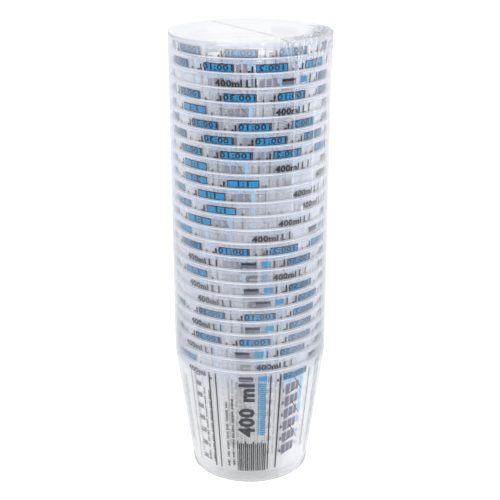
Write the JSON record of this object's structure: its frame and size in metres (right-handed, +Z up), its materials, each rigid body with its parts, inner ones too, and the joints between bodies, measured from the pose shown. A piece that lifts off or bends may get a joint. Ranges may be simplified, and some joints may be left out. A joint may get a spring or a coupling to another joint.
{
  "type": "resin mixing cup stack",
  "caption": "Upright stack of nested clear mixing cups with turned-down rims and printed scales, wrapped in clear film; the cups lift out one by one.",
  "frame": {"origin": "centre of the flat face that the stack stands on, on the cups' common axis", "axes": "+Z up along the cups' axis, towards their mouths; -Y towards the camera of the picture"},
  "size_m": [0.0988, 0.0988, 0.2897],
  "materials": {
    "cup_plastic": "translucent, smooth",
    "film": "clear film"
  },
  "bodies": {
    "bottom_cup_and_film": {"cup_01": "cup_plastic", "film_sleeve": "film"},
    "cup_02": {"cup_02": "cup_plastic"},
    "cup_03": {"cup_03": "cup_plastic"},
    "cup_04": {"cup_04": "cup_plastic"},
    "cup_05": {"cup_05": "cup_plastic"},
    "cup_06": {"cup_06": "cup_plastic"},
    "cup_07": {"cup_07": "cup_plastic"},
    "cup_08": {"cup_08": "cup_plastic"},
    "cup_09": {"cup_09": "cup_plastic"},
    "cup_10": {"cup_10": "cup_plastic"},
    "cup_11": {"cup_11": "cup_plastic"},
    "cup_12": {"cup_12": "cup_plastic"},
    "cup_13": {"cup_13": "cup_plastic"},
    "cup_14": {"cup_14": "cup_plastic"},
    "cup_15": {"cup_15": "cup_plastic"},
    "cup_16": {"cup_16": "cup_plastic"},
    "cup_17": {"cup_17": "cup_plastic"},
    "cup_18": {"cup_18": "cup_plastic"},
    "cup_19": {"cup_19": "cup_plastic"},
    "cup_20": {"cup_20": "cup_plastic"},
    "cup_21": {"cup_21": "cup_plastic"},
    "cup_22": {"cup_22": "cup_plastic"},
    "cup_23": {"cup_23": "cup_plastic"},
    "cup_24": {"cup_24": "cup_plastic"},
    "cup_25": {"cup_25": "cup_plastic"},
    "film_top": {"film_lid": "film", "film_seam": "film"}
  },
  "joints": [
    {"name": "cup_02_lift", "type": "slide", "parent": "bottom_cup_and_film", "child": "cup_02", "axis": [0, 0, 1], "range_m": [0, 0.0828]},
    {"name": "cup_03_lift", "type": "slide", "parent": "cup_02", "child": "cup_03", "axis": [0, 0, 1], "range_m": [0, 0.0828]},
    {"name": "cup_04_lift", "type": "slide", "parent": "cup_03", "child": "cup_04", "axis": [0, 0, 1], "range_m": [0, 0.0828]},
    {"name": "cup_05_lift", "type": "slide", "parent": "cup_04", "child": "cup_05", "axis": [0, 0, 1], "range_m": [0, 0.0828]},
    {"name": "cup_06_lift", "type": "slide", "parent": "cup_05", "child": "cup_06", "axis": [0, 0, 1], "range_m": [0, 0.0828]},
    {"name": "cup_07_lift", "type": "slide", "parent": "cup_06", "child": "cup_07", "axis": [0, 0, 1], "range_m": [0, 0.0828]},
    {"name": "cup_08_lift", "type": "slide", "parent": "cup_07", "child": "cup_08", "axis": [0, 0, 1], "range_m": [0, 0.0828]},
    {"name": "cup_09_lift", "type": "slide", "parent": "cup_08", "child": "cup_09", "axis": [0, 0, 1], "range_m": [0, 0.0828]},
    {"name": "cup_10_lift", "type": "slide", "parent": "cup_09", "child": "cup_10", "axis": [0, 0, 1], "range_m": [0, 0.0828]},
    {"name": "cup_11_lift", "type": "slide", "parent": "cup_10", "child": "cup_11", "axis": [0, 0, 1], "range_m": [0, 0.0828]},
    {"name": "cup_12_lift", "type": "slide", "parent": "cup_11", "child": "cup_12", "axis": [0, 0, 1], "range_m": [0, 0.0828]},
    {"name": "cup_13_lift", "type": "slide", "parent": "cup_12", "child": "cup_13", "axis": [0, 0, 1], "range_m": [0, 0.0828]},
    {"name": "cup_14_lift", "type": "slide", "parent": "cup_13", "child": "cup_14", "axis": [0, 0, 1], "range_m": [0, 0.0828]},
    {"name": "cup_15_lift", "type": "slide", "parent": "cup_14", "child": "cup_15", "axis": [0, 0, 1], "range_m": [0, 0.0828]},
    {"name": "cup_16_lift", "type": "slide", "parent": "cup_15", "child": "cup_16", "axis": [0, 0, 1], "range_m": [0, 0.0828]},
    {"name": "cup_17_lift", "type": "slide", "parent": "cup_16", "child": "cup_17", "axis": [0, 0, 1], "range_m": [0, 0.0828]},
    {"name": "cup_18_lift", "type": "slide", "parent": "cup_17", "child": "cup_18", "axis": [0, 0, 1], "range_m": [0, 0.0828]},
    {"name": "cup_19_lift", "type": "slide", "parent": "cup_18", "child": "cup_19", "axis": [0, 0, 1], "range_m": [0, 0.0828]},
    {"name": "cup_20_lift", "type": "slide", "parent": "cup_19", "child": "cup_20", "axis": [0, 0, 1], "range_m": [0, 0.0828]},
    {"name": "cup_21_lift", "type": "slide", "parent": "cup_20", "child": "cup_21", "axis": [0, 0, 1], "range_m": [0, 0.0828]},
    {"name": "cup_22_lift", "type": "slide", "parent": "cup_21", "child": "cup_22", "axis": [0, 0, 1], "range_m": [0, 0.0828]},
    {"name": "cup_23_lift", "type": "slide", "parent": "cup_22", "child": "cup_23", "axis": [0, 0, 1], "range_m": [0, 0.0828]},
    {"name": "cup_24_lift", "type": "slide", "parent": "cup_23", "child": "cup_24", "axis": [0, 0, 1], "range_m": [0, 0.0828]},
    {"name": "cup_25_lift", "type": "slide", "parent": "cup_24", "child": "cup_25", "axis": [0, 0, 1], "range_m": [0, 0.0828]},
    {"name": "film_lid_lift", "type": "slide", "parent": "cup_25", "child": "film_top", "axis": [0, 0, 1], "range_m": [0, 0.06]}
  ]
}
